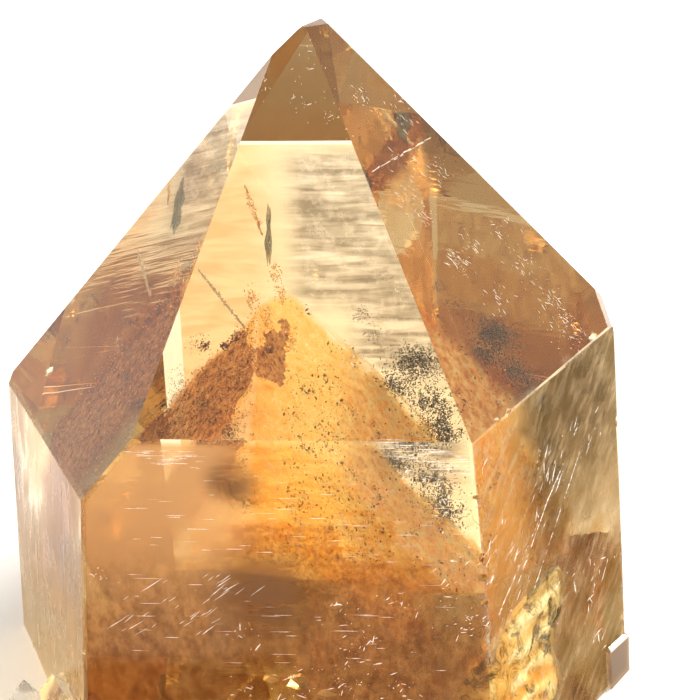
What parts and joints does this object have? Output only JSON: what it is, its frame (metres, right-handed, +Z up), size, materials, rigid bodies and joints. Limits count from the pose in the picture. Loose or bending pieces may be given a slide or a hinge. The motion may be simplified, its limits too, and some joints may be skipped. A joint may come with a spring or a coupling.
{
  "type": "phantom quartz crystal",
  "caption": "Leaning single-pointed quartz crystal with a smaller phantom crystal sealed inside it, small side crystals, growth lines, a hollow of yellow iron crust and a flat cut foot; rests on the cut.",
  "frame": {"origin": "on the ground, under the middle of the crystal's box, in the plane of its flat cut", "axes": "+Z up from the cut, -Y towards the broad front face, +X to the right; the crystal's long axis leans 8.9 degrees back and 4.8 degrees left"},
  "size_m": [0.0652, 0.053, 0.0678],
  "materials": {
    "quartz": "clear amber quartz, polished natural faces",
    "phantom_dust": "film of gold and brown iron-oxide dust on an earlier quartz face",
    "iron_crust": "dull, crumbly yellow iron oxide"
  },
  "bodies": {
    "root": {"quartz_crystal": "quartz", "phantom": "phantom_dust", "iron_crust": "iron_crust"}
  },
  "joints": []
}
